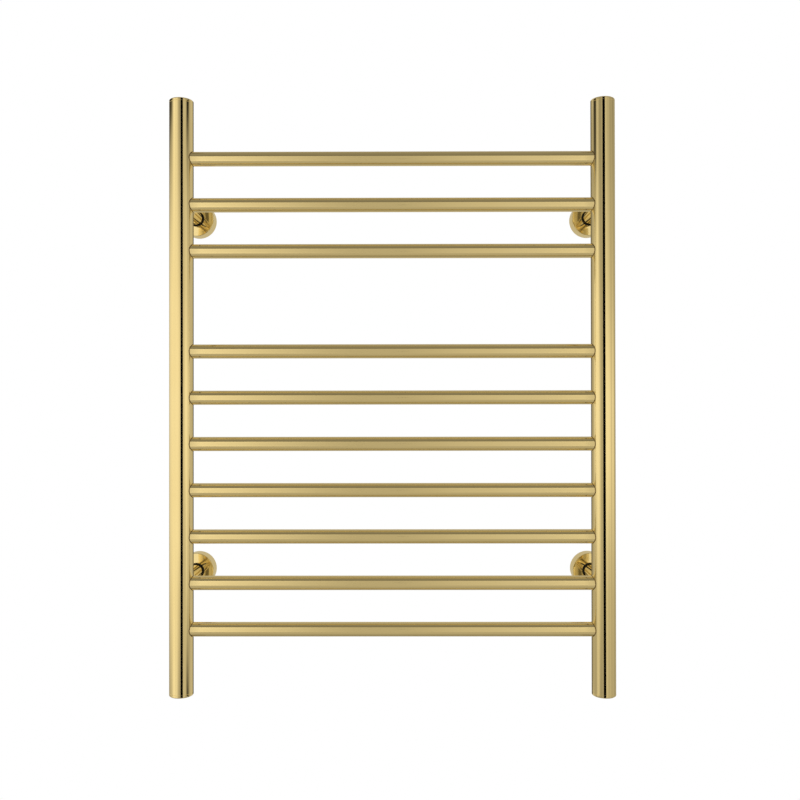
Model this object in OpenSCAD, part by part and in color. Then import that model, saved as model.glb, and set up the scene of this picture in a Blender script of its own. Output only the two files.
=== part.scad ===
// Ladder towel warmer, dry electric type, hung on a wall.
// Two round uprights carry ten round bars, three above a wide gap and seven
// below it. Four posts hold the rack off the wall. Each post slips over the
// spigot of a wall plate, is clamped there by a grub screw, and hides the
// plate under a sliding cover rose. A heating cable runs through every bar.
// Origin: on the wall plane, midway between the uprights, at half height.
// +X to the right, +Y into the wall, +Z up.

/* [Frame] */
// Overall width across both uprights
rack_w = 600; // [500:10:700]
// Overall height of the uprights with their end caps
rack_h = 800; // [770:5:900]
// Distance from the wall to the plane of the upright axes
standoff = 100; // [90:1:140]
// Outside diameter of an upright
upright_d = 32; // [30:1:36]
// Wall thickness of an upright
upright_wall = 1.5; // [1:0.1:2]

/* [Bars] */
// Outside diameter of a bar
bar_d = 19; // [18:0.5:22]
// Wall thickness of a bar
bar_wall = 1.2; // [0.8:0.1:1.5]
// Distance from the top end down to the first bar's axis
top_margin = 78.6; // [60:0.2:80]
// Distance between the axes of neighbouring bars
bar_pitch = 62.3; // [58:0.1:66]
// Distance between bar axes across the wide gap
wide_gap = 135; // [90:1:140]
// Number of bars above the wide gap
top_bars = 3; // [2:1:8]

/* [Wall brackets] */
// Bar level of the upper brackets, counted from the top
upper_level = 2; // [1:1:4]
// Bar level of the lower brackets, counted from the top
lower_level = 9; // [6:1:9]
// Outside diameter of a post
post_d = 19; // [17:0.5:22]
// Diameter of the wall plate that is screwed to the wall
plate_d = 44; // [43:0.5:45]
// Thickness of the wall plate
plate_t = 3; // [3:0.1:4]
// Diameter of the circle that the wall screws lie on
screw_circle_d = 33; // [32:0.5:33]
// Diameter of a wall screw hole
screw_hole_d = 4.5; // [4:0.1:4.5]
// Length of the spigot that the post slips over
spigot_l = 38; // [35:1:45]

/* [Cover roses] */
// Outside diameter of a rose
rose_d = 50; // [50:1:56]
// Depth of a rose from the wall to its flat face
rose_depth = 20; // [10:0.5:22]
// Radius of the rounded edge round the rose's flat face
rose_edge = 0.8; // [0.4:0.1:1.5]

/* [Heating] */
// Diameter of the heating cable
cable_d = 4; // [3:0.1:4]
// Bend radius of the heating cable's middle line
cable_bend = 8; // [8:0.1:8.5]

/* [Hidden] */
BARS = 10;
SIDES = [-1, 1];
LEFT = -1;
RIGHT = 1;
TOP = 1;
BOTTOM = -1;
CORNERS = ["top_left", "top_right", "bottom_left", "bottom_right"];
BAR_NAMES = [for (i = [1:BARS]) str("bar_", i < BARS ? "0" : "", i)];
$fn = 96;

// Colours
BRASS = [0.87, 0.72, 0.42];
STEEL = [0.75, 0.76, 0.78];
BLACK = [0.08, 0.08, 0.08];
CABLE_RED = [0.45, 0.12, 0.08];
IVORY = [0.85, 0.82, 0.74];

// Room for cuts that run past a face
past = 1;
axis_x = (rack_w - upright_d) / 2;
upright_r = upright_d / 2;
upright_bore_r = upright_r - upright_wall;

// End caps: a rim that shows, and a hollow plug inside the upright
cap_rim = 4;
cap_edge = 1.2;
cap_plug_l = 12;
cap_floor = 6;
cap_plug_wall = 2.5;
cap_cup_r = upright_bore_r - cap_plug_wall;
tube_h = rack_h - 2 * cap_rim;

// Posts, spigots and the grub screw that clamps them
post_r = post_d / 2;
post_bore_r = 5;
spigot_r = 4.95;
spigot_bore_r = 3.2;
groove_r = 4.2;
groove_l = 5.5;
screw_angles = [90, 210, 330];
grub_r = 2.5;
grub_l = 4;
grub_hole_r = 2.55;
grub_y = rose_depth + 12;
grub_tip = groove_r + 0.05;
hex_socket_af = 2.5;
hex_socket_depth = 2;

// Cover rose and its O-ring
rose_wall = 1.5;
rose_gap = 0.3;
rose_hole_r = post_r + 0.3;
rose_hub_r = post_r + 4;
rose_hub_t = 3;
o_ring_section_r = 0.8;
o_ring_inner_r = post_r + 0.05;
o_ring_seat_r = post_r + 1.75;
o_ring_seat_depth = 1.2;

// Wiring
wire_hole_r = 8;
riser_x = axis_x + cable_bend;
cutout_size = [6, 8, 18];
cutout_lift = 16;
cutout_z = bar_z(BARS - 1) + cutout_lift;
splice_top = cutout_z + cutout_size.z;
splice_r = 2.5;
splice_l = 14;
grommet_r = 4.95;
grommet_flange_r = 6.5;
grommet_bore_r = 3.2;
grommet_sleeve_l = 6;
grommet_flange_t = 2.5;

// Earth terminal in the wired cap
stud_r = 2.5;
stud_seat = 3;
stud_l = 16;
tag_t = 0.8;
tag_r = 5;
tag_tongue = [10, 4];
nut_af = 8;
nut_h = 4;
thread_gap = 0.05;

// Height of bar i, where 0 is the top one
function bar_z(i) = rack_h / 2 - top_margin - i * bar_pitch
    - (i >= top_bars ? wide_gap - bar_pitch : 0);

// Side and end of corner c: 0 and 1 are at the top, 0 and 2 on the left
function side(c) = SIDES[c % 2];
function end(c) = c < 2 ? TOP : BOTTOM;
function bracket_z(c) = bar_z((c < 2 ? upper_level : lower_level) - 1);
wired = 3;

// Diameter across the corners of a hexagon with the given size over its flats
function hex_d(af) = af / cos(30);

// Rounded corner of radius e in a section, from the side at radius r round
// to the face at height h
function round_corner(r, h, e) = [
    for (a = [0:15:90]) [r - e + e * cos(a), h - e + e * sin(a)]
];

// Places its children on an upright's axis
module at_upright(s) {
    translate([s * axis_x, -standoff, 0]) children();
}

// Turns +Z to point away from the wall, at the axis of corner c's bracket
module at_bracket(c) {
    translate([side(c) * axis_x, 0, bracket_z(c)]) rotate([90, 0, 0]) children();
}

// Puts z = 0 on the outer end of corner c's upright, with +Z into the tube
module at_end(c) {
    at_upright(side(c))
        translate([0, 0, end(c) * rack_h / 2])
            rotate([end(c) == TOP ? 180 : 0, 0, 0]) children();
}

// Upright tube with a wire hole behind each bar
module upright(s, post_hole) {
    color(BRASS) difference() {
        at_upright(s) cylinder(r = upright_r, h = tube_h, center = true);
        at_upright(s) cylinder(r = upright_bore_r, h = tube_h + past, center = true);
        for (i = [0:BARS - 1])
            translate([s * (axis_x - upright_r), -standoff, bar_z(i)])
                rotate([0, 90, 0])
                    cylinder(r = wire_hole_r, h = upright_r, center = true);
        if (post_hole)
            at_bracket(wired)
                cylinder(r = post_bore_r, h = standoff - upright_r / 2);
    }
}

// Bar tube, its ends cut to the curve of the uprights
module bar(i) {
    color(BRASS) difference() {
        translate([0, -standoff, bar_z(i)]) rotate([0, 90, 0])
            cylinder(d = bar_d, h = 2 * axis_x, center = true);
        translate([0, -standoff, bar_z(i)]) rotate([0, 90, 0])
            cylinder(r = bar_d / 2 - bar_wall, h = 2 * axis_x + past, center = true);
        for (s = SIDES)
            at_upright(s) cylinder(r = upright_r, h = rack_h, center = true);
    }
}

// End cap: rounded rim, hollow plug, and a stud hole on the wired corner
module cap(c) {
    color(BRASS) at_end(c) difference() {
        union() {
            translate([0, 0, cap_rim]) mirror([0, 0, 1]) rotate_extrude()
                polygon(concat([[0, 0], [upright_r, 0]],
                    round_corner(upright_r, cap_rim, cap_edge), [[0, cap_rim]]));
            cylinder(r = upright_bore_r, h = cap_rim + cap_plug_l);
        }
        translate([0, 0, cap_floor]) cylinder(r = cap_cup_r, h = cap_plug_l);
        if (c == wired)
            translate([0, 0, stud_seat]) cylinder(r = stud_r, h = cap_floor);
    }
}

// Post: bored tube, its front end cut to the curve of the upright
module post(c) {
    color(BRASS) difference() {
        at_bracket(c) translate([0, 0, plate_t])
            cylinder(r = post_r, h = standoff - plate_t - upright_r / 2);
        at_bracket(c) cylinder(r = post_bore_r, h = standoff);
        at_upright(side(c)) cylinder(r = upright_r, h = rack_h, center = true);
        at_bracket(c) translate([0, 0, grub_y]) rotate([90, 0, 0])
            cylinder(r = grub_hole_r, h = post_r + past);
    }
}

// Wall plate: drilled disc with a grooved, bored spigot
module wall_plate(c) {
    color(STEEL) at_bracket(c) difference() {
        union() {
            cylinder(d = plate_d, h = plate_t);
            cylinder(r = spigot_r, h = plate_t + spigot_l);
        }
        translate([0, 0, -past]) cylinder(r = spigot_bore_r, h = spigot_l + plate_t + 2 * past);
        translate([0, 0, grub_y - groove_l / 2]) difference() {
            cylinder(r = spigot_r + past, h = groove_l);
            cylinder(r = groove_r, h = groove_l);
        }
        for (a = screw_angles)
            rotate([0, 0, a]) translate([screw_circle_d / 2, 0, 0]) screw_hole();
    }
}

// Countersunk hole for a wall screw
module screw_hole() {
    head_r = screw_hole_d;
    translate([0, 0, -past]) cylinder(d = screw_hole_d, h = plate_t + 2 * past);
    translate([0, 0, plate_t - head_r / 2])
        cylinder(r1 = head_r / 2, r2 = head_r, h = head_r / 2);
}

// Section of the cover rose: radius, then height above the wall
function rose_section() = concat(
    [[rose_d / 2, rose_gap]],
    round_corner(rose_d / 2, rose_depth, rose_edge),
    [
        [o_ring_seat_r, rose_depth],
        [o_ring_seat_r, rose_depth - o_ring_seat_depth],
        [rose_hole_r, rose_depth - o_ring_seat_depth],
        [rose_hole_r, rose_depth - rose_hub_t],
        [rose_hub_r, rose_depth - rose_hub_t],
        [rose_hub_r, rose_depth - rose_wall],
        [rose_d / 2 - rose_wall, rose_depth - rose_wall],
        [rose_d / 2 - rose_wall, rose_gap],
    ]
);

// Cover rose: flat-faced cup that hides the wall plate
module cover_rose(c) {
    color(BRASS) at_bracket(c) rotate_extrude() polygon(rose_section());
}

// Rubber ring that grips the post in the mouth of the rose
module o_ring(c) {
    color(BLACK) at_bracket(c)
        translate([0, 0, rose_depth - o_ring_seat_depth + o_ring_section_r])
            rotate_extrude()
                translate([o_ring_inner_r + o_ring_section_r, 0])
                    circle(r = o_ring_section_r, $fn = 32);
}

// Grub screw under the post, its tip in the spigot's groove
module grub_screw(c) {
    color(STEEL) at_bracket(c) translate([0, 0, grub_y]) rotate([90, 0, 0])
        difference() {
            translate([0, 0, grub_tip]) cylinder(r = grub_r, h = grub_l);
            translate([0, 0, grub_tip + grub_l - hex_socket_depth])
                cylinder(d = hex_d(hex_socket_af), h = hex_socket_depth + past, $fn = 6);
        }
}

// Quarter bend of the cable, from the +X side of its centre to the +Z side
module cable_quarter() {
    rotate([90, 0, 0]) rotate_extrude(angle = 90)
        translate([cable_bend, 0]) circle(d = cable_d, $fn = 48);
}

// Straight cable along +X between two places on a bar's axis
module cable_run(x_from, x_to, z) {
    translate([x_from, -standoff, z]) rotate([0, 90, 0])
        cylinder(d = cable_d, h = x_to - x_from);
}

// Straight cable along +Z
module cable_rise(x, z_from, z_to) {
    translate([x, -standoff, z_from]) cylinder(d = cable_d, h = z_to - z_from);
}

// Bend that turns bar i's cable at x towards the end given as TOP or BOTTOM
module cable_bend_at(x, i, s, towards) {
    translate([x - s * cable_bend, -standoff, bar_z(i) + towards * cable_bend])
        scale([s, 1, -towards]) cable_quarter();
}

// Heating cable: through every bar, from the riser to the thermal cut-out
module heating_cable() {
    inner_x = axis_x - cable_bend;
    color(CABLE_RED) union() {
        for (i = [0:BARS - 1])
            cable_run(-inner_x, i == 0 ? riser_x - cable_bend : inner_x, bar_z(i));
        for (i = [0:BARS - 2]) {
            s = i % 2 == 0 ? LEFT : RIGHT;
            cable_bend_at(s * axis_x, i, s, BOTTOM);
            cable_bend_at(s * axis_x, i + 1, s, TOP);
            cable_rise(s * axis_x, bar_z(i + 1) + cable_bend, bar_z(i) - cable_bend);
        }
        cable_bend_at(riser_x, 0, RIGHT, BOTTOM);
        cable_rise(riser_x, splice_top, bar_z(0) - cable_bend);
        cable_bend_at(axis_x, BARS - 1, RIGHT, TOP);
        cable_rise(axis_x, bar_z(BARS - 1) + cable_bend, cutout_z);
    }
}

// Thermal cut-out in line with the cable's lower end
module thermal_cutout() {
    color(IVORY) translate([axis_x, -standoff, cutout_z + cutout_size.z / 2])
        cube(cutout_size, center = true);
}

// Crimp splices where the supply cores join the heating circuit
module cable_splices() {
    color(IVORY) union() {
        translate([riser_x, -standoff, splice_top - splice_l])
            cylinder(r = splice_r, h = splice_l);
        translate([axis_x, -standoff, splice_top]) cylinder(r = splice_r, h = splice_l);
    }
}

// Rubber bush that lines the upright's hole behind the wired post
module cable_grommet() {
    inner_face = standoff - upright_bore_r;
    color(BLACK) difference() {
        union() {
            at_bracket(wired) translate([0, 0, inner_face - grommet_sleeve_l])
                cylinder(r = grommet_r, h = grommet_sleeve_l + grommet_flange_t);
            intersection() {
                at_bracket(wired) translate([0, 0, inner_face - past])
                    cylinder(r = grommet_flange_r, h = past + grommet_flange_t);
                at_upright(RIGHT) cylinder(r = upright_bore_r, h = rack_h, center = true);
            }
        }
        at_bracket(wired) cylinder(r = grommet_bore_r, h = standoff);
    }
}

// Earth stud screwed into the wired cap
module earth_stud() {
    color(BRASS) at_end(wired) translate([0, 0, stud_seat])
        cylinder(r = stud_r, h = stud_l);
}

// Ring tag for the earth core
module earth_tag() {
    color(STEEL) at_end(wired) translate([0, 0, cap_floor]) difference() {
        union() {
            cylinder(r = tag_r, h = tag_t);
            translate([0, -tag_tongue.y / 2, 0]) cube([tag_tongue.x, tag_tongue.y, tag_t]);
        }
        translate([0, 0, -past]) cylinder(r = stud_r + thread_gap, h = tag_t + 2 * past);
    }
}

// Hexagon nut that holds the ring tag
module earth_nut() {
    color(BRASS) at_end(wired) translate([0, 0, cap_floor + tag_t]) difference() {
        cylinder(d = hex_d(nut_af), h = nut_h, $fn = 6);
        translate([0, 0, -past]) cylinder(r = stud_r + thread_gap, h = nut_h + 2 * past);
    }
}

upright(LEFT, false);  // left_upright
upright(RIGHT, true);  // right_upright
for (i = [0:BARS - 1])
    bar(i);
for (c = [0:3]) {
    cap(c);
    post(c);
    wall_plate(c);
    cover_rose(c);
    o_ring(c);
    grub_screw(c);
}
heating_cable();
thermal_cutout();
cable_splices();
cable_grommet();
earth_stud();
earth_tag();
earth_nut();
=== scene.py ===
"""Looks of a ladder towel warmer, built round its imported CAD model. Metres, +Z up, +Y into the wall."""

import math

import bmesh
import bpy
from mathutils import Matrix, Vector


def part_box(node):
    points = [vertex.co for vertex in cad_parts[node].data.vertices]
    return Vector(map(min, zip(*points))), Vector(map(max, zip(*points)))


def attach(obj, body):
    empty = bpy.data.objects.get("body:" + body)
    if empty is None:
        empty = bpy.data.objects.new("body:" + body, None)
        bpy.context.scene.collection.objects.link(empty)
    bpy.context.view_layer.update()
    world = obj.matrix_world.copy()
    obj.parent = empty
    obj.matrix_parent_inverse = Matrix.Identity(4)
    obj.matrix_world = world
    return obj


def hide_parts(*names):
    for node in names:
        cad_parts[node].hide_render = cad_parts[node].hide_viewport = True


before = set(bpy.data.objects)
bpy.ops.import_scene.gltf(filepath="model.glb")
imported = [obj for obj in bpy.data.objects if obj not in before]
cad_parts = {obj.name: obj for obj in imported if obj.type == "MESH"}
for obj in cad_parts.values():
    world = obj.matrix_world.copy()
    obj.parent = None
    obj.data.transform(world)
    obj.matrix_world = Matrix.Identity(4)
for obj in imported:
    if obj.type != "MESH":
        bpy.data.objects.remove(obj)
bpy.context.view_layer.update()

MM = 0.001
SIDES = {"left": -1, "right": 1}
CORNERS = ("top_left", "top_right", "bottom_left", "bottom_right")
WIRED = "bottom_right"
BARS = [f"bar_{number:02d}" for number in range(1, 11)]

# Faces round each kind of piece
UPRIGHT_FACES = 160
BAR_FACES = 112
POST_FACES = 112
PLATE_FACES = 144
ROSE_FACES = 192
O_RING_FACES = 144
SCREW_FACES = 48
HOLE_FACES = 48
SINK_FACES = 64

# Steps round a rounded edge, a weld's fillet and an O-ring's section
EDGE_STEPS = 8
FILLET_STEPS = 5
SECTION_STEPS = 24

# Points closer than these are joined: where a lathe's rings shrink to a point, and after a cut
SAME_POINT = 1e-7
CUT_POINT = 0.001 * MM

SHARP_ANGLE = math.radians(32)


# ---------------------------------------------------------------- sizes from the frame


def middle(node):
    """Centre of a CAD node's box."""
    low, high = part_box(node)
    return (low + high) / 2


def extent(node):
    """Width, depth and height of a CAD node's box."""
    low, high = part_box(node)
    return high - low


axis_x = middle("right_upright").x
axis_y = middle("right_upright").y
upright_r = extent("right_upright").x / 2
tube_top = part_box("right_upright")[1].z
end_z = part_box("cap_top_right")[1].z
bar_r = extent("bar_01").z / 2
post_r = extent("post_top_left").x / 2
rose_r = extent("cover_rose_top_left").x / 2
rose_depth = -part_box("cover_rose_top_left")[0].y
rose_gap = -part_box("cover_rose_top_left")[1].y
plate_r = extent("wall_plate_top_left").x / 2
spigot_end = -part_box("wall_plate_top_left")[0].y
plate_t = -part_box("post_top_left")[1].y
grub_r = extent("grub_screw_top_left").x / 2
grub_l = extent("grub_screw_top_left").z
grub_y = -middle("grub_screw_top_left").y
grub_tip = middle("post_top_left").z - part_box("grub_screw_top_left")[1].z
ring_mid_r = (extent("o_ring_top_left").x - extent("o_ring_top_left").y) / 2
ring_section_r = extent("o_ring_top_left").y / 2
ring_height = -middle("o_ring_top_left").y

# Walls and bores that a box doesn't show
upright_bore_r = upright_r - 1.5 * MM
bar_bore_r = bar_r - 1.2 * MM
post_bore_r = 5 * MM
wire_hole_r = 8 * MM
plug_l = 12 * MM
plug_wall = 2.5 * MM
plug_floor = 6 * MM
stud_r = 2.5 * MM
stud_seat = 3 * MM
spigot_r = 4.95 * MM
spigot_bore_r = 3.2 * MM
groove_r = 4.2 * MM
groove_l = 5.5 * MM
grub_hole_r = 2.55 * MM
wall_screw_r = 2.25 * MM
wall_screw_circle_r = 16.5 * MM

# Edges that the maker's tools leave
weld_r = 0.7 * MM
seam = 0.22 * MM
burr = 0.3 * MM


def bracket(corner):
    """Frame on a bracket's axis: the origin on the wall, +Z away from the wall, +Y up."""
    side = SIDES[corner.split("_")[1]]
    origin = Vector((side * axis_x, 0, middle(f"post_{corner}").z))
    return Matrix.Translation(origin) @ Matrix.Rotation(math.pi / 2, 4, "X")


def grub_hole(corner):
    """Frame on a grub screw's axis: the origin on the post's axis, +Z down."""
    out = Matrix.Translation((0, 0, grub_y))
    return bracket(corner) @ out @ Matrix.Rotation(math.pi / 2, 4, "X")


def upright_end(corner):
    """Frame on an upright's outer end face, +Z into the tube."""
    end, side = corner.split("_")
    turn = math.pi if end == "top" else 0
    height = end_z if end == "top" else -end_z
    origin = Vector((SIDES[side] * axis_x, axis_y, height))
    return Matrix.Translation(origin) @ Matrix.Rotation(turn, 4, "X")


# ---------------------------------------------------------------- mesh building


def turns(count):
    """Angles of count even steps round a circle."""
    return [2 * math.pi * step / count for step in range(count)]


def quarter(count):
    """Angles of count even steps from 0 to a quarter turn."""
    return [math.pi / 2 * step / count for step in range(count + 1)]


def circle(radius, height, count):
    """Ring of points round +Z."""
    return [(radius * math.cos(a), radius * math.sin(a), height) for a in turns(count)]


def solid(rings):
    """Closed surface through rings of points, the last one joined to the first."""
    count = len(rings[0])
    points = [point for ring in rings for point in ring]
    faces = []
    for step in range(len(rings)):
        a = step * count
        b = (step + 1) % len(rings) * count
        for i in range(count):
            j = (i + 1) % count
            faces.append((a + i, a + j, b + j, b + i))
    mesh = bpy.data.meshes.new("solid")
    mesh.from_pydata(points, [], faces)
    work = bmesh.new()
    work.from_mesh(mesh)
    bmesh.ops.remove_doubles(work, verts=work.verts, dist=SAME_POINT)
    bmesh.ops.recalc_face_normals(work, faces=work.faces)
    work.to_mesh(mesh)
    work.free()
    return mesh


def lathe(profile, count):
    """Solid turned round +Z from a closed outline of (radius, height) points."""
    return solid([circle(radius, height, count) for radius, height in profile])


def place(mesh, name, matrix=None):
    """Object that shows the mesh, in the scene."""
    piece = bpy.data.objects.new(name, mesh)
    mesh.name = name
    bpy.context.scene.collection.objects.link(piece)
    if matrix is not None:
        piece.matrix_world = matrix
    return piece


def join_points(mesh, gap):
    """Joins points that are closer than the gap, which would leave faces without an area."""
    work = bmesh.new()
    work.from_mesh(mesh)
    bmesh.ops.remove_doubles(work, verts=work.verts, dist=gap)
    work.to_mesh(mesh)
    work.free()


def cut(piece, *cutters):
    """Takes the cutters' solids away from the piece."""
    for cutter in cutters:
        change = piece.modifiers.new("cut", "BOOLEAN")
        change.solver = "EXACT"
        change.object = cutter
    bpy.context.view_layer.update()
    shaped = piece.evaluated_get(bpy.context.evaluated_depsgraph_get())
    mesh = bpy.data.meshes.new_from_object(shaped)
    join_points(mesh, CUT_POINT)
    piece.modifiers.clear()
    piece.data = mesh
    mesh.name = piece.name
    for cutter in cutters:
        bpy.data.objects.remove(cutter)


def drill(radius, start, end, matrix, count=HOLE_FACES):
    """Cutter for a round hole along the matrix's +Z."""
    outline = [(0, start), (radius, start), (radius, end), (0, end)]
    return place(lathe(outline, count), "drill", matrix)


def finish_piece(piece, material, body, slot, *nodes):
    """Smooth faces, a material, a body to ride on and the CAD nodes that the piece stands for."""
    piece.data.shade_smooth()
    piece.data.set_sharp_from_angle(angle=SHARP_ANGLE)
    piece.data.materials.clear()
    piece.data.materials.append(material)
    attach(piece, body)
    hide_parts(*nodes)


# ---------------------------------------------------------------- materials


class Finish:
    """A Principled material with the procedural steps that the finishes share."""

    def __init__(self, name, **settings):
        self.material = bpy.data.materials.new(name)
        self.material.use_nodes = True
        self.tree = self.material.node_tree
        self.shader = self.tree.nodes["Principled BSDF"]
        for key, value in settings.items():
            self.shader.inputs[key.replace("_", " ")].default_value = value
        self.position = self.tree.nodes.new("ShaderNodeTexCoord").outputs["Object"]

    def add(self, kind, links=None, **settings):
        """New node with its settings and links, by input name or number."""
        node = self.tree.nodes.new(kind)
        for key, value in settings.items():
            setattr(node, key, value)
        for key, value in (links or {}).items():
            if isinstance(value, bpy.types.NodeSocket):
                self.tree.links.new(value, node.inputs[key])
            else:
                node.inputs[key].default_value = value
        return node

    def noise(self, scale, detail=3.0, stretch=(1, 1, 1)):
        """Noise of about 1/scale metres, finer along an axis that is stretched more."""
        mapped = self.add("ShaderNodeMapping", {"Vector": self.position, "Scale": stretch})
        links = {"Vector": mapped.outputs[0], "Scale": scale, "Detail": detail, "Roughness": 0.55}
        return self.add("ShaderNodeTexNoise", links).outputs["Fac"]

    def rings(self, step, distortion):
        """Turning marks round the object's own Z axis, each 2 pi steps wide."""
        wave_factor = 20  # radians for each unit of distance at scale 1
        links = {
            "Vector": self.position,
            "Scale": 1 / step / wave_factor,
            "Distortion": distortion,
            "Detail": 3.0,
            "Detail Scale": 4.0,
        }
        wave = self.add("ShaderNodeTexWave", links, wave_type="RINGS", rings_direction="Z")
        return wave.outputs["Fac"]

    def spread(self, factor, low, high):
        """The factor's middle half stretched to run from low to high."""
        links = {"Value": factor, "From Min": 0.25, "From Max": 0.75, "To Min": low, "To Max": high}
        return self.add("ShaderNodeMapRange", links).outputs[0]

    def colours(self, factor, low, high):
        """Base colour that runs from low to high with the factor."""
        ramp = self.add("ShaderNodeValToRGB", {"Fac": factor})
        ramp.color_ramp.elements[0].position = 0.3
        ramp.color_ramp.elements[0].color = (*low, 1)
        ramp.color_ramp.elements[1].position = 0.7
        ramp.color_ramp.elements[1].color = (*high, 1)
        self.tree.links.new(ramp.outputs["Color"], self.shader.inputs["Base Color"])

    def roughness(self, value):
        """Roughness from a varying value."""
        self.tree.links.new(value, self.shader.inputs["Roughness"])

    def relief(self, *layers):
        """Bump layers, each a height from 0 to 1 and its depth in metres."""
        normal = None
        for height, depth in layers:
            links = {"Height": height, "Distance": depth, "Strength": 1.0}
            if normal:
                links["Normal"] = normal
            normal = self.add("ShaderNodeBump", links).outputs["Normal"]
        self.tree.links.new(normal, self.shader.inputs["Normal"])


def polished_brass(name, grain):
    """Mirror-polished brass plating. Grain is how much finer the polishing lines are on each axis."""
    finish = Finish(name, Metallic=1.0)
    tone = finish.noise(9, 2)
    finish.colours(tone, (0.905, 0.775, 0.455), (0.925, 0.8, 0.485))
    lines = finish.noise(90, 4, grain)
    finish.roughness(finish.spread(lines, 0.045, 0.1))
    peel = finish.noise(420, 2)
    finish.relief((peel, 0.9e-6), (lines, 0.6e-6))
    return finish.material


def turned_steel():
    """Satin stainless steel with turning marks round each piece's own axis."""
    finish = Finish("turned_steel", Metallic=1.0)
    finish.colours(finish.noise(60, 3), (0.52, 0.52, 0.53), (0.62, 0.62, 0.63))
    marks = finish.rings(0.5 * MM, 1.5)
    finish.roughness(finish.spread(marks, 0.2, 0.36))
    finish.relief((marks, 4e-6), (finish.noise(900, 3), 2e-6))
    return finish.material


def blackened_steel():
    """Dark heat-treated steel of the grub screws, with lighter patches."""
    finish = Finish("blackened_steel", Metallic=1.0)
    finish.colours(finish.noise(700, 4), (0.08, 0.08, 0.085), (0.2, 0.2, 0.2))
    finish.roughness(finish.spread(finish.noise(1500, 3), 0.25, 0.45))
    finish.relief((finish.noise(2500, 3), 3e-6))
    return finish.material


def moulded(name, low, high, roughness, scale):
    """Moulded rubber or plastic: slight clouding and a fine skin texture."""
    finish = Finish(name, Specular_IOR_Level=0.4)
    finish.colours(finish.noise(scale / 6, 3), low, high)
    finish.roughness(finish.spread(finish.noise(scale, 3), roughness - 0.08, roughness + 0.08))
    finish.relief((finish.noise(scale, 4), 12e-6))
    return finish.material


def worn_metal(name, low, high, roughness):
    """Plain metal with a clouded colour and fine scratches."""
    finish = Finish(name, Metallic=1.0)
    finish.colours(finish.noise(220, 4), low, high)
    scratches = finish.noise(500, 4, (1, 9, 1))
    finish.roughness(finish.spread(scratches, roughness - 0.07, roughness + 0.1))
    finish.relief((scratches, 3e-6))
    return finish.material


# Dark brown weld finish: painted shade for the dark line where each bar meets an upright, not a colour of
# the metal
weld_painted_shade = worn_metal("weld_painted_shade", (0.16, 0.11, 0.05), (0.3, 0.21, 0.1), 0.35)
brass_along_x = polished_brass("polished_brass_bars", (0.15, 5, 5))
brass_along_z = polished_brass("polished_brass_uprights", (5, 5, 0.15))
brass_spun = polished_brass("polished_brass_spun", (1, 1, 4))
steel = turned_steel()
black_steel = blackened_steel()
rubber = moulded("black_rubber", (0.010, 0.010, 0.010), (0.020, 0.020, 0.019), 0.5, 2500)


# ---------------------------------------------------------------- pieces


def surface_at(offset):
    """How far an upright's skin lies from its axis plane, offset to one side of the axis."""
    return math.sqrt(upright_r**2 - offset**2)


def weld_steps(radius):
    """Radius and height over the upright of each ring of a weld's hollow fillet, from the foot up."""
    return [
        (radius + weld_r * (1 - math.sin(a)), weld_r * (1 - math.cos(a)))
        for a in quarter(FILLET_STEPS)
    ]


def mark_welds(bar):
    """Gives the fillets at a bar's ends a dark finish, which is painted shade for the dark line at each
    joint.
    """
    bar.data.materials.append(weld_painted_shade)
    for face in bar.data.polygons:
        if math.hypot(abs(face.center.x) - axis_x, face.center.y) < upright_r + weld_r:
            face.material_index = 1


def make_upright(side_name):
    """Tube with chamfered ends, a wire hole behind each bar and, if it is wired, one for the supply."""
    side = SIDES[side_name]
    inset = 0.4 * MM
    heights = [-tube_top, tube_top]
    for node in BARS:
        height = middle(node).z
        heights += [height - bar_r + inset, height + bar_r - inset]
    heights.sort()
    count = UPRIGHT_FACES
    outside = [circle(upright_r - seam, -tube_top, count), circle(upright_r, -tube_top + seam, count)]
    outside += [circle(upright_r, height, count) for height in heights[1:-1]]
    outside += [circle(upright_r, tube_top - seam, count), circle(upright_r - seam, tube_top, count)]
    inside = [circle(upright_bore_r, height, count) for height in reversed(heights)]
    axis = Matrix.Translation((side * axis_x, axis_y, 0))
    piece = place(solid(outside + inside), f"{side_name}_upright_tube", axis)
    holes = []
    for node in BARS:
        start = Vector((side * axis_x, axis_y, middle(node).z))
        towards_bar = Matrix.Translation(start) @ Matrix.Rotation(-side * math.pi / 2, 4, "Y")
        holes.append(drill(wire_hole_r, upright_r / 2, 2 * upright_r, towards_bar))
    if WIRED.endswith(side_name):
        holes.append(drill(post_bore_r, 0, -axis_y - upright_r / 2, bracket(WIRED)))
    cut(piece, *holes)
    finish_piece(piece, brass_along_z, "rack", "upright_brass", f"{side_name}_upright")


def make_bar(node):
    """Tube coped to both uprights, with a small weld fillet at each end."""
    height = middle(node).z
    angles = turns(BAR_FACES)

    def coped(radius, side, inset):
        ring = []
        for a in angles:
            y = radius * math.cos(a)
            x = side * (axis_x - surface_at(y) - inset)
            ring.append((x, y, radius * math.sin(a)))
        return ring

    def plain(x):
        return [(x, bar_r * math.cos(a), bar_r * math.sin(a)) for a in angles]

    end_l = 12 * MM
    reach = axis_x - upright_r - end_l
    steps = 6
    rings = [coped(radius, -1, inset) for radius, inset in weld_steps(bar_r)]
    rings += [plain(reach * step / steps) for step in range(-steps, steps + 1)]
    rings += [coped(radius, 1, inset) for radius, inset in reversed(weld_steps(bar_r))]
    rings += [coped(bar_bore_r, 1, 0), coped(bar_bore_r, -1, 0)]
    piece = place(solid(rings), f"{node}_tube", Matrix.Translation((0, axis_y, height)))
    finish_piece(piece, brass_along_x, "rack", "bar_brass", node)
    # The fillets get the dark painted-shade finish
    mark_welds(piece)


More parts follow.
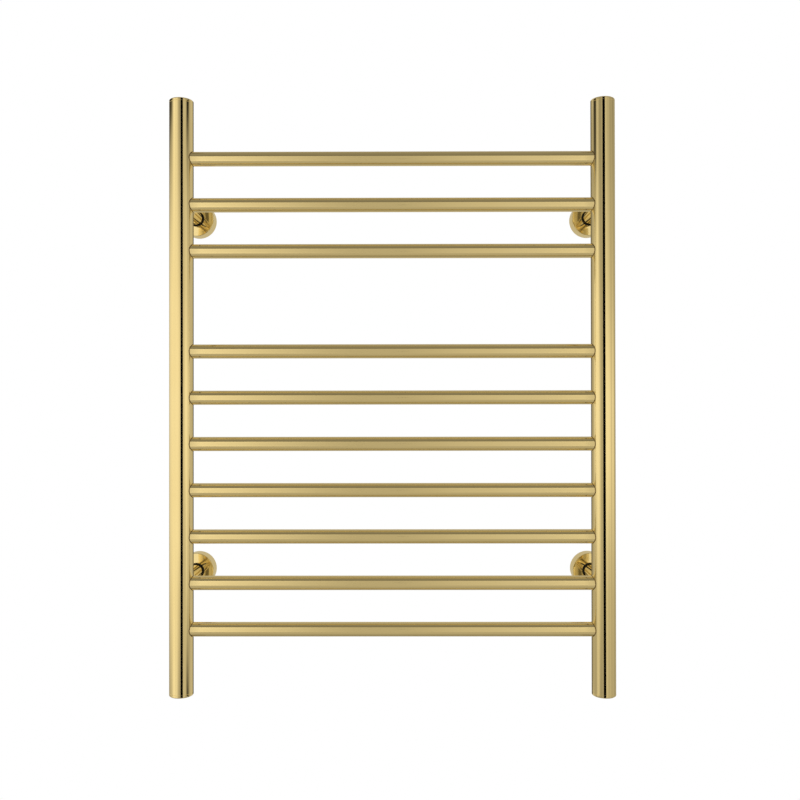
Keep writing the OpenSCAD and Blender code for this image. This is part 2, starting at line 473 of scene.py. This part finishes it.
def make_cap(corner):
    """End cap: flat disc with a rounded edge and a seam, and a hollow plug in the tube. The cap on the
    wired corner has the earth stud's hole in its floor."""
    edge = 1.2 * MM
    rim = end_z - tube_top
    plug_end = rim + plug_l
    cup_r = upright_bore_r - plug_wall
    outline = [(0, 0), (upright_r / 2, 0)]
    outline += [
        (upright_r - edge + edge * math.sin(a), edge - edge * math.cos(a))
        for a in quarter(EDGE_STEPS)
    ]
    outline += [(upright_r, rim - seam), (upright_r - seam, rim)]
    outline += [(upright_bore_r, rim), (upright_bore_r, plug_end - burr)]
    outline += [(upright_bore_r - burr, plug_end), (cup_r, plug_end), (cup_r, plug_floor)]
    if corner == WIRED:
        outline += [(stud_r, plug_floor), (stud_r, stud_seat), (0, stud_seat)]
    else:
        outline += [(0, plug_floor)]
    piece = place(lathe(outline, UPRIGHT_FACES), f"cap_{corner}_turned", upright_end(corner))
    finish_piece(piece, brass_spun, "rack", "cap_brass", f"cap_{corner}")


def make_post(corner):
    """Post: bored bar coped and welded to the upright, with the grub screw's hole below."""
    count = POST_FACES
    angles = turns(count)
    heights = [height * MM for height in (12, 25, 40, 60, 76)]

    def coped(radius, inset):
        ring = []
        for a in angles:
            x = radius * math.cos(a)
            ring.append((x, radius * math.sin(a), -axis_y - surface_at(x) - inset))
        return ring

    rings = [circle(post_r - burr, plate_t, count), circle(post_r, plate_t + burr, count)]
    rings += [circle(post_r, height, count) for height in heights]
    rings += [coped(radius, inset) for radius, inset in reversed(weld_steps(post_r))]
    rings += [coped(post_bore_r, 0), circle(post_bore_r, plate_t, count)]
    piece = place(solid(rings), f"post_{corner}_turned", bracket(corner))
    cut(piece, drill(grub_hole_r, 0, 2 * post_r, grub_hole(corner)))
    finish_piece(piece, brass_spun, "rack", "post_brass", f"post_{corner}")


def make_wall_plate(corner):
    """Disc with three countersunk holes, and a bored spigot with a groove for the grub screw."""
    groove = grub_y - groove_l / 2
    outline = [(spigot_bore_r, 0), (plate_r - burr, 0), (plate_r, burr)]
    outline += [(plate_r, plate_t - burr), (plate_r - burr, plate_t), (spigot_r + burr, plate_t)]
    outline += [(spigot_r, plate_t + burr), (spigot_r, groove), (groove_r, groove)]
    outline += [(groove_r, groove + groove_l), (spigot_r, groove + groove_l)]
    outline += [(spigot_r, spigot_end - burr), (spigot_r - burr, spigot_end)]
    outline += [(spigot_bore_r, spigot_end)]
    piece = place(lathe(outline, PLATE_FACES), f"wall_plate_{corner}_turned", bracket(corner))
    hole_r = wall_screw_r
    sink_r = 2 * hole_r
    sink = [(0, -MM), (hole_r, -MM), (hole_r, plate_t - hole_r), (sink_r, plate_t)]
    sink += [(sink_r, plate_t + MM), (0, plate_t + MM)]
    to_circle = Matrix.Translation((wall_screw_circle_r, 0, 0))
    cutters = []
    for degrees in (90, 210, 330):
        spoke = Matrix.Rotation(math.radians(degrees), 4, "Z") @ to_circle
        cutters.append(place(lathe(sink, SINK_FACES), "sink", bracket(corner) @ spoke))
    cut(piece, *cutters)
    finish_piece(piece, steel, "rack", "bracket_steel", f"wall_plate_{corner}")


def make_rose(corner):
    """Cover rose: spun cup with a flat face, a rounded edge and a seat for its O-ring."""
    edge = 0.8 * MM
    shell = 1.5 * MM
    back_edge = 0.2 * MM
    seat_edge = 0.15 * MM
    hole_r = post_r + 0.3 * MM
    seat_r = post_r + 1.75 * MM
    seat = rose_depth - 1.2 * MM
    hub_r = post_r + 4 * MM
    hub = rose_depth - 3 * MM
    outline = [(rose_r - back_edge, rose_gap), (rose_r, rose_gap + back_edge)]
    outline += [
        (rose_r - edge + edge * math.cos(a), rose_depth - edge + edge * math.sin(a))
        for a in quarter(EDGE_STEPS)
    ]
    outline += [(seat_r + seat_edge, rose_depth), (seat_r, rose_depth - seat_edge)]
    outline += [(seat_r, seat), (hole_r, seat), (hole_r, hub), (hub_r, hub)]
    outline += [(hub_r, rose_depth - shell), (rose_r - shell, rose_depth - shell)]
    outline += [(rose_r - shell, rose_gap)]
    piece = place(lathe(outline, ROSE_FACES), f"rose_{corner}_spun", bracket(corner))
    finish_piece(piece, brass_spun, f"rose_{corner}", "rose_brass", f"cover_rose_{corner}")


def make_o_ring(corner):
    """Rubber ring in the mouth of the rose."""
    outline = [
        (ring_mid_r + ring_section_r * math.cos(a), ring_height + ring_section_r * math.sin(a))
        for a in turns(SECTION_STEPS)
    ]
    piece = place(lathe(outline, O_RING_FACES), f"o_ring_{corner}_moulded", bracket(corner))
    finish_piece(piece, rubber, f"rose_{corner}", "black_rubber", f"o_ring_{corner}")


def make_grub_screw(corner):
    """Grub screw: cut thread with chamfered ends, flat tip and hexagon socket at the outer end."""
    pitch = 0.8 * MM
    thread = 0.3 * MM
    chamfer = 0.5 * MM
    tip_r = 1.3 * MM
    count = SCREW_FACES
    steps = 50
    rings = [circle(0, grub_tip, count), circle(tip_r, grub_tip, count)]
    for step in range(steps + 1):
        height = grub_l * step / steps
        blunt = max(0.0, chamfer - min(height, grub_l - height))
        ring = []
        for a in turns(count):
            phase = 2 * math.pi * height / pitch - a
            radius = grub_r - thread * (0.5 + 0.5 * math.cos(phase)) - blunt
            ring.append((radius * math.cos(a), radius * math.sin(a), grub_tip + height))
        rings.append(ring)
    outer_end = grub_tip + grub_l
    rings.append(circle(0, outer_end, count))
    piece = place(solid(rings), f"grub_screw_{corner}_threaded", grub_hole(corner))
    half_key = 1.25 * MM
    socket_r = half_key / math.cos(math.radians(30))
    socket_depth = 2 * MM
    socket = drill(socket_r, outer_end - socket_depth, outer_end + MM, grub_hole(corner), count=6)
    cut(piece, socket)
    finish_piece(piece, black_steel, f"screw_{corner}", "screw_steel", f"grub_screw_{corner}")


def dress(node, material):
    """Better material for a CAD node that stays."""
    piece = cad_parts[node]
    for material_slot in piece.material_slots:
        material_slot.link = "OBJECT"
        material_slot.material = material


for side_name in SIDES:
    make_upright(side_name)
for node in BARS:
    make_bar(node)
for corner in CORNERS:
    make_cap(corner)
    make_post(corner)
    make_wall_plate(corner)
    make_rose(corner)
    make_o_ring(corner)
    make_grub_screw(corner)

jacket = moulded("silicone_jacket", (0.25, 0.035, 0.02), (0.34, 0.055, 0.03), 0.45, 1400)
ivory = moulded("ivory_plastic", (0.62, 0.57, 0.45), (0.7, 0.65, 0.53), 0.4, 1800)
sleeve = moulded("splice_sleeve", (0.5, 0.47, 0.4), (0.58, 0.55, 0.47), 0.35, 1600)
terminal = worn_metal("terminal_brass", (0.6, 0.42, 0.16), (0.72, 0.53, 0.22), 0.25)
tinned = worn_metal("tinned_copper", (0.6, 0.59, 0.57), (0.72, 0.71, 0.69), 0.3)
dress("heating_cable", jacket)
dress("thermal_cutout", ivory)
dress("cable_splices", sleeve)
dress("cable_grommet", rubber)
dress("earth_stud", terminal)
dress("earth_tag", tinned)
dress("earth_nut", terminal)


# ---------------------------------------------------------------- studio

WARM = (0.985, 0.888, 0.65, 1)
WHITE = (1, 1, 1, 1)
BLACK = (0, 0, 0, 1)
X, Y, Z = range(3)


def ramp_along(tree, axis, low, high, levels):
    """Node output that runs through levels, each at its place along the axis, from low to high."""
    parts = tree.nodes.new("ShaderNodeSeparateXYZ")
    position = tree.nodes.new("ShaderNodeTexCoord")
    tree.links.new(position.outputs["Object"], parts.inputs[0])
    reach = tree.nodes.new("ShaderNodeMapRange")
    reach.inputs["From Min"].default_value = low
    reach.inputs["From Max"].default_value = high
    tree.links.new(parts.outputs[axis], reach.inputs["Value"])
    ramp = tree.nodes.new("ShaderNodeValToRGB")
    tree.links.new(reach.outputs[0], ramp.inputs["Fac"])
    elements = ramp.color_ramp.elements
    elements.remove(elements[1])
    for number, (place_at, level) in enumerate(levels):
        where = (place_at - low) / (high - low)
        stop = elements[0] if number == 0 else elements.new(where)
        stop.position = where
        stop.color = (level, level, level, 1)
    return ramp.outputs["Color"]


def glow(name, colour, see_through):
    """Material that shines, and its emission node. See-through, it hides nothing that is behind it."""
    material = bpy.data.materials.new(name)
    material.use_nodes = True
    tree = material.node_tree
    tree.nodes.clear()
    light = tree.nodes.new("ShaderNodeEmission")
    light.inputs["Color"].default_value = colour
    output = tree.nodes.new("ShaderNodeOutputMaterial")
    if see_through:
        clear = tree.nodes.new("ShaderNodeBsdfTransparent")
        both = tree.nodes.new("ShaderNodeAddShader")
        tree.links.new(light.outputs[0], both.inputs[0])
        tree.links.new(clear.outputs[0], both.inputs[1])
        tree.links.new(both.outputs[0], output.inputs["Surface"])
    else:
        tree.links.new(light.outputs[0], output.inputs["Surface"])
    return material, light


def card(name, low, high, across, levels, ends=None, fade=None):
    """Flat glowing card between two corners that share one coordinate. Its brightness runs through the
    levels along the axis called across. A fade gives the share of the levels at each height, and the
    brightness called ends takes the rest."""
    flat = [i for i in range(3) if low[i] == high[i]][0]
    u, v = [i for i in range(3) if i != flat]
    corners = []
    for du, dv in ((0, 0), (1, 0), (1, 1), (0, 1)):
        point = list(low)
        point[u] = (low[u], high[u])[du]
        point[v] = (low[v], high[v])[dv]
        corners.append(point)
    mesh = bpy.data.meshes.new(name)
    mesh.from_pydata(corners, [], [(0, 1, 2, 3)])
    material, light = glow(name, WARM, see_through=True)
    tree = material.node_tree
    level = ramp_along(tree, across, low[across], high[across], levels)
    if fade:
        mix = tree.nodes.new("ShaderNodeMix")
        mix.data_type = "RGBA"
        share = ramp_along(tree, Z, low[Z], high[Z], fade)
        tree.links.new(share, mix.inputs["Factor"])
        end_level = ramp_along(tree, across, low[across], high[across], ends)
        tree.links.new(end_level, mix.inputs["A"])
        tree.links.new(level, mix.inputs["B"])
        level = mix.outputs["Result"]
    tree.links.new(level, light.inputs["Strength"])
    mesh.materials.append(material)
    obj = place(mesh, name)
    obj.visible_camera = False
    obj.visible_shadow = False
    return obj


# Faces of the rooms: half the width, where the front and the back are, and half of each room's height
room = 1.9
front = -1.594
back = 1.9
half_heights = {"bars": 1.2, "brackets": 1.2, "left": 1.35, "right": 1.35}


def wall(label, face, levels, ends=None, fade=None):
    """Card on one face of a room, as long as its levels run."""
    start = levels[0][0]
    stop = levels[-1][0]
    top = half_heights[label]
    low, high, across = {
        "front": ((start, front, -top), (stop, front, top), X),
        "back": ((start, back, -top), (stop, back, top), X),
        "left": ((-room, start, -top), (-room, stop, top), Y),
        "right": ((room, start, -top), (room, stop, top), Y),
        "ceiling": ((-room, start, top), (room, stop, top), Y),
        "base": ((-room, start, -top), (room, stop, -top), Y),
    }[face]
    return card(f"{label}_{face}_card", low, high, across, levels, ends, fade)


def light_only(cards, label, names, excluded=False, scale=1.0):
    """Makes a room of cards light only the named pieces, or everything else. Rooms differ a little in
    scale, so that no two cards share a plane."""
    pieces = bpy.data.collections.new(label)
    for name in names:
        pieces.objects.link(bpy.data.objects[name])
    for obj in cards:
        obj.light_linking.receiver_collection = pieces
        obj.scale = (scale, scale, scale)
    for item in pieces.collection_objects:
        item.light_linking.link_state = "EXCLUDE" if excluded else "INCLUDE"


# Room for the bars and everything else that has no room of its own
bar_room = [
    wall("bars", "front", [
        (-room, 1.0), (-0.7, 1.0), (-0.54, 0.86), (-0.3, 0.64), (-0.144, 0.54), (0.0, 0.53),
        (0.236, 0.64), (0.46, 0.705), (0.6, 0.8), (0.7, 0.87), (1.0, 0.95), (room, 0.95),
    ]),
    wall("bars", "ceiling", [
        (front, 0.2), (-1.0, 0.25), (-0.1, 0.31), (0.3, 0.4), (0.54, 0.45), (back, 0.5),
    ]),
    wall("bars", "base", [
        (front, 0.53), (-0.6, 0.5), (-0.1, 0.35), (0.3, 0.33), (0.97, 0.45), (back, 0.5),
    ]),
    wall("bars", "left", [(front, 0.8), (-0.8, 0.35), (-0.1, 0.4), (0.3, 0.68), (back, 0.65)]),
    wall("bars", "right", [(front, 0.8), (-0.8, 0.3), (-0.1, 0.35), (0.3, 0.65), (back, 0.65)]),
    wall("bars", "back", [(-room, 0.55), (room, 0.55)]),
]

# Room for the brackets: a dark slit in the middle of its front draws lines along the posts
slit = 0.06
bracket_room = [
    wall("brackets", "front",
         [(-room, 1.0), (-0.6, 1.0), (-2 * slit, 0.6), (-slit, 0), (slit, 0), (2 * slit, 0.6),
          (0.6, 0.9), (room, 0.95)]),
    wall("brackets", "left", [(front, 0.6), (-0.5, 0.3), (0.3, 0.5), (back, 0.7)]),
    wall("brackets", "right", [(front, 0.6), (-0.5, 0.3), (0.3, 0.5), (back, 0.7)]),
    wall("brackets", "back", [(-room, 0.6), (room, 0.6)]),
    wall("brackets", "ceiling", [(front, 0.35), (0, 0.4), (back, 0.6)]),
    wall("brackets", "base", [(front, 0.3), (0, 0.25), (back, 0.6)]),
]

# Rooms for the two uprights. The front is open in the middle, which gives them their thin black line,
# and the light fades towards the ceiling and the base, which have a dark stripe in line with the rack
gap_left = -0.12
gap_right = 0.52
striped = [(front, 0.4), (-0.45, 0.5), (-0.3, 0.15), (0.05, 0.15), (0.2, 0.55), (back, 0.65)]

left_room = [
    wall("left", "front",
         [(-room, 1.02), (-1.0, 1.03), (-0.73, 1.02), (-0.46, 0.93), (gap_left, 0.75)],
         [(-room, 0.9), (-1.4, 0.92), (-1.03, 0.87), (-0.73, 0.6), (-0.46, 0.4), (gap_left, 0.36)],
         [(-1.2, 0), (-0.95, 0), (-0.74, 0.4), (-0.6, 0.6), (-0.45, 0.95), (0.15, 1),
          (0.32, 0.86), (0.53, 0.57), (0.72, 0.25), (0.93, 0), (1.2, 0)]),
    wall("left", "front",
         [(gap_right, 0.71), (0.64, 0.72), (1.03, 0.8), (1.57, 0.97), (room, 1.03)],
         [(gap_right, 0.62), (1.03, 0.61), (1.57, 0.6), (room, 0.58)],
         [(-1.2, 0), (-0.65, 0.1), (-0.44, 0.45), (-0.25, 0.9), (0, 1), (0.2, 0.95), (0.42, 0.55),
          (0.69, 0.3), (0.93, 0.1), (1.1, 0), (1.2, 0)]),
    wall("left", "left", [(front, 1.0), (-0.9, 1.02)]),
    wall("left", "left",
         [(-0.9, 1.02), (-0.4, 1.02), (0.23, 0.96), (0.93, 0.8), (back, 0.6)],
         [(-0.9, 0.95), (-0.5, 0.45), (-0.1, 0.03), (back, 0.0)],
         [(-1.2, 0.5), (-0.95, 0.6), (-0.65, 0.85), (-0.4, 0.95), (0, 1), (0.35, 1), (0.55, 0.85),
          (0.73, 0.6), (0.87, 0.4), (0.95, 0.12), (1.05, 0), (1.2, 0)]),
    wall("left", "right",
         [(front, 1.03), (-1.3, 1.03), (-0.81, 0.88), (-0.37, 0.83), (-0.1, 0.8)],
         [(front, 0.6), (-1.3, 0.3), (-0.81, 0), (-0.37, 0), (-0.1, 0.35)],
         [(-1.2, 0.05), (-1.1, 0.25), (-1.0, 0.45), (-0.75, 0.75), (-0.4, 0.95), (-0.2, 1), (0.1, 1),
          (0.4, 0.8), (0.67, 0.7), (0.9, 0.52), (1.03, 0.33), (1.1, 0.18), (1.18, 0), (1.2, 0)]),
    wall("left", "right",
         [(-0.1, 0.8), (0.08, 0.77), (0.58, 0.58), (1.25, 0.54), (back, 0.56)],
         [(-0.1, 0.4), (0.08, 0.45), (0.58, 0.57), (back, 0.6)],
         [(-1.2, 0), (-1.0, 0), (-0.45, 0.3), (-0.25, 0.8), (0, 1), (0.2, 0.9), (0.4, 0.6),
          (0.65, 0.2), (0.9, 0), (1.2, 0)]),
    wall("left", "back",
         [(-room, 0.5), (-1.3, 0.5), (-1.0, 0.15), (0.9, 0.15), (1.2, 0.6), (room, 0.6)]),
    wall("left", "ceiling", striped),
    wall("left", "base", striped),
]

right_room = [
    wall("right", "front",
         [(-room, 0.98), (-1.67, 0.95), (-1.1, 0.75), (-0.69, 0.52), (-0.37, 0.48), (gap_left, 0.46)],
         [(-room, 0.62), (-1.67, 0.5), (-1.1, 0.35), (-0.69, 0.33), (-0.37, 0.42), (gap_left, 0.43)],
         [(-1.2, 0), (-0.95, 0.3), (-0.7, 0.7), (-0.4, 1), (0, 1), (0.2, 0.85), (0.42, 0.6),
          (0.7, 0.3), (1.0, 0.05), (1.2, 0)]),
    wall("right", "front",
         [(gap_right, 0.95), (0.69, 1.0), (1.34, 1.0), (1.83, 0.95), (room, 0.95)],
         [(gap_right, 0.66), (0.69, 0.66), (0.98, 0.57), (1.34, 0.52), (room, 0.54)],
         [(-1.2, 0), (-1.0, 0), (-0.7, 0.15), (-0.52, 0.35), (-0.35, 0.75), (-0.2, 1), (0, 1),
          (0.15, 0.9), (0.33, 0.6), (0.55, 0.35), (0.75, 0.15), (0.95, 0), (1.2, 0)]),
    wall("right", "left",
         [(front, 0.98), (-1.2, 1.0), (-0.9, 1.02)],
         [(front, 0.62), (-0.9, 0.6)],
         [(-1.2, 0.2), (-0.93, 0.3), (-0.63, 0.75), (-0.42, 1), (0.42, 1), (0.68, 0.8), (0.9, 0.35),
          (1.2, 0)]),
    wall("right", "left",
         [(-0.9, 1.02), (-0.29, 1.0), (0.16, 0.95), (0.7, 0.62), (1.44, 0.47), (back, 0.45)],
         [(-0.9, 0.6), (-0.6, 0.36), (-0.4, 0.02), (0.1, 0.02), (0.5, 0.15), (0.8, 0.46), (back, 0.45)],
         [(-1.2, 0.45), (-0.9, 0.5), (-0.64, 0.62), (-0.43, 0.8), (-0.25, 0.95), (0, 1), (0.39, 0.95),
          (0.65, 0.7), (0.88, 0.42), (0.97, 0.05), (1.2, 0)]),
    wall("right", "right",
         [(front, 0.97), (-1.14, 0.9), (-0.71, 0.66), (-0.3, 0.9), (0.13, 0.83), (0.72, 0.43),
          (back, 0.4)],
         [(front, 0.5), (-1.14, 0.42), (-0.71, 0.4), (-0.3, 0.42), (0.13, 0.3), (0.72, 0.42),
          (back, 0.42)],
         [(-1.2, 0.2), (-0.9, 0.25), (-0.65, 0.4), (-0.5, 0.6), (-0.35, 0.85), (-0.2, 1), (0, 1),
          (0.15, 0.85), (0.32, 0.55), (0.55, 0.3), (0.75, 0.15), (0.95, 0), (1.2, 0)]),
    wall("right", "back",
         [(-room, 0.42), (-1.2, 0.42), (-0.9, 0.15), (1.0, 0.15), (1.3, 0.5), (room, 0.5)]),
    wall("right", "ceiling", striped),
    wall("right", "base", striped),
]

upright_names = {
    side_name: [
        name.format(side_name)
        for name in ("{}_upright_tube", "cap_top_{}_turned", "cap_bottom_{}_turned")
    ]
    for side_name in SIDES
}
bracket_names = [
    name.format(corner)
    for corner in CORNERS
    for name in ("post_{}_turned", "rose_{}_spun", "o_ring_{}_moulded", "wall_plate_{}_turned")
]
elsewhere = upright_names["left"] + upright_names["right"] + bracket_names
light_only(bar_room, "lit_by_other_cards", elsewhere, excluded=True)
light_only(bracket_room, "brackets", bracket_names, scale=0.97)
light_only(left_room, "left_upright_and_caps", upright_names["left"], scale=0.98)
light_only(right_room, "right_upright_and_caps", upright_names["right"], scale=0.99)

camera_place = Vector((0.0143, -1.2, -0.0091))

# Black disc just behind the camera, which the rack reflects
lens_r = 0.016
lens_t = 0.01
lens_place = camera_place - Vector((0, 0.03, 0))
lens = place(lathe([(0, 0), (lens_r, 0), (lens_r, lens_t), (0, lens_t)], count=48), "lens_shade")
lens.matrix_world = Matrix.Translation(lens_place) @ Matrix.Rotation(math.pi / 2, 4, "X")
lens.data.materials.append(worn_metal("lens_black", (0.01, 0.01, 0.01), (0.02, 0.02, 0.02), 0.4))
lens.visible_camera = False
lens.visible_shadow = False


def backdrop():
    """White dome and white floor that only the camera sees, the floor below the lowest view."""
    steps = 24
    radius = 12
    floor_r = 6
    floor_t = 0.05
    floor_z = -1.3
    outline = [
        (radius * math.sin(math.pi * step / steps), -radius * math.cos(math.pi * step / steps))
        for step in range(steps + 1)
    ]
    dome = place(lathe(outline, count=48), "white_backdrop")
    dome.data.materials.append(glow("white_light", WHITE, see_through=False)[0])
    floor_outline = [(0, 0), (floor_r, 0), (floor_r, -floor_t), (0, -floor_t)]
    floor = place(lathe(floor_outline, count=96), "pale_floor")
    floor.location.z = floor_z
    floor.data.materials.append(glow("pale_floor", WHITE, see_through=False)[0])
    for obj in (dome, floor):
        obj.visible_glossy = False
        obj.visible_diffuse = False
        obj.visible_transmission = False
        obj.visible_shadow = False


backdrop()

world = bpy.data.worlds.new("studio")
world.use_nodes = True
world.node_tree.nodes["Background"].inputs["Color"].default_value = BLACK
bpy.context.scene.world = world

camera = bpy.data.objects.new("camera", bpy.data.cameras.new("camera"))
camera.data.lens = 36.76
camera.data.sensor_width = 36
# The photo's camera stands slightly to the right of the middle and isn't quite level
yaw = Matrix.Rotation(math.radians(0.195), 4, "Z")
tilt = Matrix.Rotation(math.radians(90.273), 4, "X")
roll = Matrix.Rotation(math.radians(-0.07), 4, "Z")
camera.matrix_world = Matrix.Translation(camera_place) @ yaw @ tilt @ roll
bpy.context.scene.collection.objects.link(camera)
bpy.context.scene.camera = camera
bpy.context.scene.view_settings.view_transform = "Standard"
bpy.context.scene.cycles.use_denoising = True
